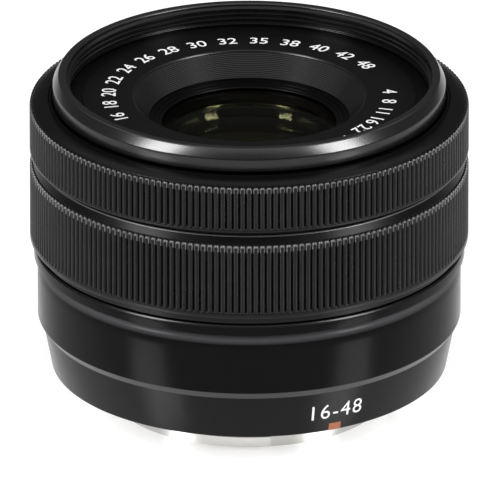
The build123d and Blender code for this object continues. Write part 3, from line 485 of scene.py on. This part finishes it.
def make_rear_barrel():
    """The cover behind the rings: cone, chamfer, straight band and rounded shoulder, with a floor."""
    foot_bore = 27.40
    cone_bore = 27.95
    floor_bore = 21.5
    floor_back = SHELL_BOTTOM + 1.2
    floor_front = SHELL_BOTTOM + 2.2
    cone_top = CONE_HEAD[1]
    chamfer_top = cone_top + CONE_CHAMFER
    shoulder = SHELL_TOP - SHOULDER_HEIGHT
    shoulder_highlight_foot = shoulder + 0.7
    section = [
        (foot_bore, SHELL_BOTTOM), (*CONE_FOOT, 0.10), (*CONE_HEAD, 0.05),
        (BAND_RADIUS, chamfer_top, 0.10), (BAND_RADIUS, shoulder + 0.2, 0.9),
        (BAND_RADIUS - 0.26, SHELL_TOP - 0.55, 0.6), (BAND_RADIUS - 0.80, SHELL_TOP, 0.10),
        (SHELL_BORE, SHELL_TOP), (SHELL_BORE, chamfer_top), (cone_bore, cone_top),
        (foot_bore, floor_front), (floor_bore, floor_front),
        (floor_bore, floor_back), (foot_bore, floor_back),
    ]
    shell = lathe("rear_barrel_shell", section, MATERIALS["black_shell"], FIXED_BODY, "black_shell",
                  "rear_barrel")
    # The cone gets a lighter black than the band: painted light.
    paint(shell, CONE_LIGHTER_BLACK, lambda face: face.center.z < cone_top * MM)
    # The chamfer gets the lighter edge black: a painted highlight.
    paint(shell, EDGE_HIGHLIGHT_BLACK, lambda face: cone_top * MM <= face.center.z < chamfer_top * MM)
    # The top of the shoulder gets the black that rises to light grey: a painted highlight.
    paint(shell, SHOULDER_HIGHLIGHT_BLACK, lambda face: face.center.z > shoulder_highlight_foot * MM)
    return shell


def make_rear_collar():
    """A smooth band between rear barrel and zoom ring, with a rounded edge that is glossier and painted a
    lighter black, a painted highlight.
    """
    groove_radius = 29.45
    groove = 0.40
    edge = COLLAR_TOP - 0.42
    foot = SHELL_TOP + groove
    section = [
        (SHELL_BORE, SHELL_TOP), (groove_radius, SHELL_TOP), (groove_radius, foot),
        (COLLAR_RADIUS, foot, 0.12), (COLLAR_RADIUS, edge, 0.06),
        (COLLAR_RADIUS - 0.07, edge + 0.20, 0.08), (COLLAR_RADIUS - 0.22, edge + 0.38, 0.08),
        (COLLAR_RADIUS - 0.36, COLLAR_TOP, 0.04), (SHELL_BORE, COLLAR_TOP),
    ]
    collar = lathe("rear_collar_ring", section, MATERIALS["black_shell"], FIXED_BODY, "black_shell",
                   "rear_collar")
    # The rounded edge gets the lighter edge black: a painted highlight.
    paint(collar, EDGE_HIGHLIGHT_BLACK, lambda face: face.center.z > edge * MM and face.normal.z < 0.95)
    return collar


# Front barrel with its filter thread
TUBE_RADIUS = 26.9
TUBE_BORE = 25.7
THREAD_BORE = 26.0
THREAD_PITCH = 0.75
RIM_HEIGHT = 3.20
RIM_BEVEL_HEIGHT = 1.35


def make_front_barrel():
    """The rim with its bevelled edge and the bore of the thread, and the tube behind it with a seat."""
    bevel_radius = 27.15
    lip_radius = 26.15
    lip_chamfer = 0.16
    seat_bore = 24.0
    seat_wall = 0.9
    rim_foot = LENS_FRONT - RIM_HEIGHT
    bevel_foot = LENS_FRONT - RIM_BEVEL_HEIGHT
    thread_end = LENS_FRONT - 3.0
    seat = NAME_BOTTOM - seat_wall
    section = [
        (TUBE_BORE, FRONT_TUBE_BOTTOM), (TUBE_RADIUS, FRONT_TUBE_BOTTOM),
        (TUBE_RADIUS, rim_foot - 0.05, 0.02),
        (RIM_RADIUS, rim_foot, 0.10), (RIM_RADIUS, bevel_foot, 0.22), (bevel_radius, LENS_FRONT, 0.16),
        (lip_radius, LENS_FRONT, 0.06), (THREAD_BORE, LENS_FRONT - lip_chamfer, 0.04),
        (THREAD_BORE, thread_end), (TUBE_BORE, thread_end),
        (TUBE_BORE, seat), (seat_bore, seat), (seat_bore, seat - seat_wall), (TUBE_BORE, seat - seat_wall),
    ]
    rim = lathe("front_barrel_rim", section, RIM_SATIN, FRONT_BODY, "black_shell", "front_barrel",
                segments=360, angle=40)
    paint(rim, RIM_BEVEL, lambda face: face.normal.z > 0.2 and face.center.z > bevel_foot * MM)
    paint(rim, MATERIALS["black_shell"], lambda face: face.center.z < (rim_foot - 0.02) * MM)
    return rim


def make_filter_thread():
    """A ridge that winds round inside the rim and runs out at both ends."""
    root = THREAD_BORE + 0.03
    crest = 25.60
    crest_wear = 0.02    # how far the crest stays back from its full size
    least = 0.02    # the share of its height that the ridge keeps at its ends, inside the wall
    half_foot = 0.34
    half_crest = 0.06
    steps = 240    # in one turn
    turns = 2.7
    run_out = steps * 0.08    # steps over which the ridge rises out of the wall and sinks into it
    top = LENS_FRONT - 0.55
    total = int(steps * turns)
    vertices = []
    for k in range(total + 1):
        turn = 2 * math.pi * k / steps
        height = top - THREAD_PITCH * k / steps
        fade = min(1, k / run_out, (total - k) / run_out)
        tip = root - (root - crest) * max(fade, least) + crest_wear
        for radius, shift in ((root, -half_foot), (tip, -half_crest), (tip, half_crest), (root, half_foot)):
            vertices.append((radius * math.cos(turn), radius * math.sin(turn), height + shift))
    faces = []
    for k in range(total):
        for side in range(4):
            beside = (side + 1) % 4
            faces.append((k * 4 + side, k * 4 + beside, k * 4 + 4 + beside, k * 4 + 4 + side))
    faces += [(0, 1, 2, 3), tuple(total * 4 + side for side in range(4))]
    return new_object("filter_thread_ridge", vertices, faces, RIM_SATIN, FRONT_BODY, "black_shell", angle=50)


# Name ring and baffle
def make_name_ring():
    """The flat ring that carries the figures, with a low step at its outer edge."""
    bore = 16.75
    step_radius = 23.75
    step = NAME_TOP - 0.20
    section = [
        (bore, NAME_BOTTOM), (NAME_RADIUS, NAME_BOTTOM), (NAME_RADIUS, step, 0.02),
        (step_radius, step, 0.02), (step_radius, NAME_TOP, 0.02), (bore, NAME_TOP, 0.04),
    ]
    return lathe("name_ring_plate", section, NAME_BLACK, FRONT_BODY, "black_inner", "name_ring")


def make_front_baffle():
    """The cone in front of the glass, cut into fine steps that stop reflections, with a stepped throat."""
    steps = 15
    notch = Vector((0.05, -0.08))    # from the edge of a step into the wall
    land = Vector((0.03, 0.03))    # from the edge of the next step back to this one
    foot_radius = 16.15
    mouth = Vector((16.50, NAME_TOP))
    throat = Vector((14.25, NAME_TOP - 3.30))
    # Radius and depth below the name ring of the steps in the throat
    throat_steps = ((14.20, 3.34), (14.20, 3.52), (13.55, 3.56), (13.50, 3.76),
                    (12.95, 3.80), (12.90, 3.98), (12.46, 4.02), (12.40, 4.10))
    section = [
        (BAFFLE_RADIUS, NAME_TOP), (mouth.x + 0.22, NAME_TOP), (mouth.x + 0.07, NAME_TOP - 0.05),
        (mouth.x, NAME_TOP - 0.20),
    ]
    for k in range(1, steps):
        high = mouth.lerp(throat, k / steps)
        low = mouth.lerp(throat, (k + 1) / steps)
        section += [tuple(high), tuple(high + notch), tuple(low + land)]
    section += [(radius, NAME_TOP - depth) for radius, depth in throat_steps]
    section += [
        (throat_steps[-1][0], BAFFLE_BOTTOM), (foot_radius, BAFFLE_BOTTOM),
        (foot_radius, NAME_BOTTOM), (BAFFLE_RADIUS, NAME_BOTTOM),
    ]
    baffle = lathe("front_baffle_cone", section, BAFFLE_BLACK, FRONT_BODY, "black_inner", "front_baffle",
                   size=0.0, angle=25)
    # The throat gets the darker black: painted shade.
    paint(baffle, THROAT_SHADE_BLACK, lambda face: face.center.z < throat.y * MM)
    return baffle


# Figures and marks
CAP_SIZE = 1.39    # font size for a figure one unit high
PRINT_LIFT = 0.02    # from the surface to the print on it


def text_mesh(text, size, spacing, weight):
    """A flat outline of a figure, centred on its own width; weight makes its strokes bolder."""
    curve = bpy.data.curves.new("figure", "FONT")
    curve.body = text
    curve.size = size
    curve.align_x = "CENTER"
    curve.resolution_u = 4
    curve.space_character = spacing
    curve.offset = weight
    obj = bpy.data.objects.new("figure", curve)
    bpy.context.scene.collection.objects.link(obj)
    bpy.context.view_layer.update()
    mesh = bpy.data.meshes.new_from_object(obj.evaluated_get(bpy.context.evaluated_depsgraph_get()))
    bpy.data.objects.remove(obj)
    points = [v.co.copy() for v in mesh.vertices]
    polygons = [tuple(p.vertices) for p in mesh.polygons]
    bpy.data.meshes.remove(mesh)
    return points, polygons


def wrapped(name, figures, place, height, body, slot, spacing=1.0, weight=0.0):
    """White figures on a surface; place(centre, across, up) gives a point in millimetres."""
    vertices, faces = [], []
    for text, centre in figures:
        points, polygons = text_mesh(text, height * CAP_SIZE, spacing, weight)
        start = len(vertices)
        vertices += [place(centre, p.x, p.y) for p in points]
        faces += [tuple(start + v for v in polygon) for polygon in polygons]
    return new_object(name, vertices, faces, PRINT_WHITE, body, slot)


NAME_TEXT_INNER = 19.05
NAME_TEXT_HEIGHT = 2.12
NAME_TEXT_WEIGHT = 0.02
# The figures on the name ring, with the first one's place and the step to the next in degrees
DIAL_FIGURES = ("16", "18", "20", "22", "24", "26", "28", "30", "32", "35", "38", "40", "42", "48")
DIAL_START, DIAL_STEP = 203.0, 13.0
SIDE_FIGURES = ("4", "8", "11", "16", "22", "\u00b7")
SIDE_START, SIDE_STEP = 4.0, 10.3


def on_dial(centre, across, up):
    """Figures stand outwards on the name ring and read clockwise."""
    radius = NAME_TEXT_INNER + up
    turn = math.radians(centre) - across / (NAME_TEXT_INNER + NAME_TEXT_HEIGHT / 2)
    return (radius * math.cos(turn), radius * math.sin(turn), NAME_TOP + PRINT_LIFT)


def make_dial():
    for name, texts, start, step in (("dial_figures", DIAL_FIGURES, DIAL_START, DIAL_STEP),
                                     ("dial_side_figures", SIDE_FIGURES, SIDE_START, SIDE_STEP)):
        figures = [(text, start - k * step) for k, text in enumerate(texts)]
        wrapped(name, figures, on_dial, NAME_TEXT_HEIGHT, FRONT_BODY, "black_inner", weight=NAME_TEXT_WEIGHT)


# The range and the index mark on the cone, to the right of the camera's side at -90 degrees
CONE_TEXT_FOOT = 2.33
CONE_TEXT_HEIGHT = 2.4
CONE_TEXT_RADIUS = 28.8
CONE_TEXT_SPACING = 1.13
CONE_TEXT_TURN = -90 + 25.2
MARK_TURN = -90 + 25.3
MARK_WIDTH = 1.85
MARK_RADIUS = 28.4
MARK_BOTTOM = SHELL_BOTTOM + 0.08
MARK_TOP = SHELL_BOTTOM + 1.18


def cone_radius(height):
    share = (height - CONE_FOOT[1]) / (CONE_HEAD[1] - CONE_FOOT[1])
    return CONE_FOOT[0] + (CONE_HEAD[0] - CONE_FOOT[0]) * share


def on_cone(centre, across, up):
    """Figures stand upright on the cone."""
    height = CONE_TEXT_FOOT + up
    turn = math.radians(centre) + across / CONE_TEXT_RADIUS
    radius = cone_radius(height) + PRINT_LIFT
    return (radius * math.cos(turn), radius * math.sin(turn), height)


def make_cone_marks():
    wrapped("zoom_range_figures", [("16-48", CONE_TEXT_TURN)], on_cone, CONE_TEXT_HEIGHT, FIXED_BODY,
            "black_shell", spacing=CONE_TEXT_SPACING)
    columns, rows = 10, 4
    vertices = []
    for row in range(rows + 1):
        height = MARK_BOTTOM + (MARK_TOP - MARK_BOTTOM) * row / rows
        for column in range(columns + 1):
            turn = math.radians(MARK_TURN) + (column / columns - 0.5) * MARK_WIDTH / MARK_RADIUS
            radius = cone_radius(height) + PRINT_LIFT
            vertices.append((radius * math.cos(turn), radius * math.sin(turn), height))
    faces = []
    for row in range(rows):
        for column in range(columns):
            corner = row * (columns + 1) + column
            faces.append((corner, corner + 1, corner + columns + 2, corner + columns + 1))
    new_object("mount_index_mark", vertices, faces, MARK_ORANGE, FIXED_BODY, "black_shell")


# The stage: pale floor and soft lamps, with sizes in metres
FLOOR_HALF = 12.0
FLOOR_GLOW = 0.46
FLOOR_PALE = (0.95, 0.95, 0.95)
FLOOR_DROP = 0.02 * MM    # keeps the floor clear of the mount's face
WORLD_LIGHT = 0.10
LAMP_DISTANCE = 0.60
SIDE_BOX_TURNS = {"left_box": -56, "right_box": 58}
SIDE_BOX_RISE = 31
SIDE_BOX_SIZE = (0.19, 0.36)
SIDE_BOX_POWER = 3.1
OVERHEAD_SIZE = (1.20, 1.20)
OVERHEAD_POWER = 3.1


def add_backdrop_glow(tree, shader):
    """Lifts the floor towards white for camera, reflection and transmission rays, and for no others."""
    path = tree.nodes.new("ShaderNodeLightPath")
    seen = path.outputs["Is Camera Ray"]
    for kind in ("Is Glossy Ray", "Is Transmission Ray"):
        either = tree.nodes.new("ShaderNodeMath")
        either.operation = "MAXIMUM"
        tree.links.new(seen, either.inputs[0])
        tree.links.new(path.outputs[kind], either.inputs[1])
        seen = either.outputs["Value"]
    strength = tree.nodes.new("ShaderNodeMath")
    strength.operation = "MULTIPLY"
    strength.inputs[1].default_value = FLOOR_GLOW
    tree.links.new(seen, strength.inputs[0])
    tree.links.new(strength.outputs["Value"], shader.inputs["Emission Strength"])
    shader.inputs["Emission Color"].default_value = (1, 1, 1, 1)


def make_floor():
    corners = [(-FLOOR_HALF, -FLOOR_HALF, 0), (FLOOR_HALF, -FLOOR_HALF, 0),
               (FLOOR_HALF, FLOOR_HALF, 0), (-FLOOR_HALF, FLOOR_HALF, 0)]
    mesh = bpy.data.meshes.new("floor")
    mesh.from_pydata(corners, [], [(0, 1, 2, 3)])
    floor = bpy.data.objects.new("floor", mesh)
    floor.location.z = FLOOR * MM - FLOOR_DROP
    bpy.context.scene.collection.objects.link(floor)
    mat, tree, shader = new_material("pale_floor")
    set_values(shader, Roughness=0.12, Specular_IOR_Level=1.0, IOR=2.2)
    shader.inputs["Base Color"].default_value = (*FLOOR_PALE, 1)
    add_backdrop_glow(tree, shader)
    mesh.materials.append(mat)


def make_world():
    world = bpy.data.worlds.new("studio")
    bpy.context.scene.world = world
    world.use_nodes = True
    background = world.node_tree.nodes["Background"]
    background.inputs["Color"].default_value = (1, 1, 1, 1)
    background.inputs["Strength"].default_value = WORLD_LIGHT


def lamp(name, turn, rise, size, power):
    """A soft box aimed at the lens, turn degrees to the right of the camera and rise degrees up."""
    data = bpy.data.lights.new(name, "AREA")
    data.shape = "RECTANGLE"
    data.size, data.size_y = size
    data.energy = power
    obj = bpy.data.objects.new(name, data)
    bpy.context.scene.collection.objects.link(obj)
    aim = Vector((0, 0, TARGET_HEIGHT * MM))
    around, up = math.radians(turn), math.radians(rise)
    offset = Vector((math.sin(around) * math.cos(up), -math.cos(around) * math.cos(up), math.sin(up)))
    obj.location = aim + offset * LAMP_DISTANCE
    obj.rotation_euler = (-offset).to_track_quat("-Z", "Y").to_euler()


def make_lamps():
    for name, turn in SIDE_BOX_TURNS.items():
        lamp(name, turn, SIDE_BOX_RISE, SIDE_BOX_SIZE, SIDE_BOX_POWER)
    lamp("overhead", 0, 90, OVERHEAD_SIZE, OVERHEAD_POWER)


# The photograph's camera, fitted to five circles in the photograph
SENSOR_WIDTH = 36
CAMERA_TILT = 23.42
CAMERA_DISTANCE = 3.0
PIXELS_PER_MM = 7.006
TARGET_HEIGHT = 22.0
TARGET_PIXEL = (249.2, 217.24)
FRAME_PIXELS = 500


def make_camera():
    data = bpy.data.cameras.new("camera")
    data.sensor_width = SENSOR_WIDTH
    data.sensor_fit = "HORIZONTAL"
    data.lens = data.sensor_width * CAMERA_DISTANCE / (FRAME_PIXELS / PIXELS_PER_MM * MM)
    data.clip_start, data.clip_end = 0.1, 20
    camera = bpy.data.objects.new("camera", data)
    bpy.context.scene.collection.objects.link(camera)
    tilt = math.radians(CAMERA_TILT)
    back = Vector((0, -math.cos(tilt), math.sin(tilt)))
    up = Vector((0, math.sin(tilt), math.cos(tilt)))
    right = Vector((1, 0, 0))
    step = MM / PIXELS_PER_MM
    middle = FRAME_PIXELS / 2
    aim = Vector((0, 0, TARGET_HEIGHT * MM))
    aim += right * (middle - TARGET_PIXEL[0]) * step + up * (TARGET_PIXEL[1] - middle) * step
    turn = Matrix((right, up, back)).transposed().to_4x4()
    camera.matrix_world = Matrix.Translation(aim + back * CAMERA_DISTANCE) @ turn
    bpy.context.scene.camera = camera


make_camera()
make_world()
make_lamps()
make_floor()
bpy.context.scene.view_settings.view_transform = "Standard"

dress_nodes()
make_focus_ring()
make_zoom_ring()
make_rear_barrel()
make_rear_collar()
make_front_barrel()
make_filter_thread()
make_name_ring()
make_front_baffle()
make_dial()
make_cone_marks()
frame["nodes"]["front_element"].data.materials[0] = FRONT_GLASS
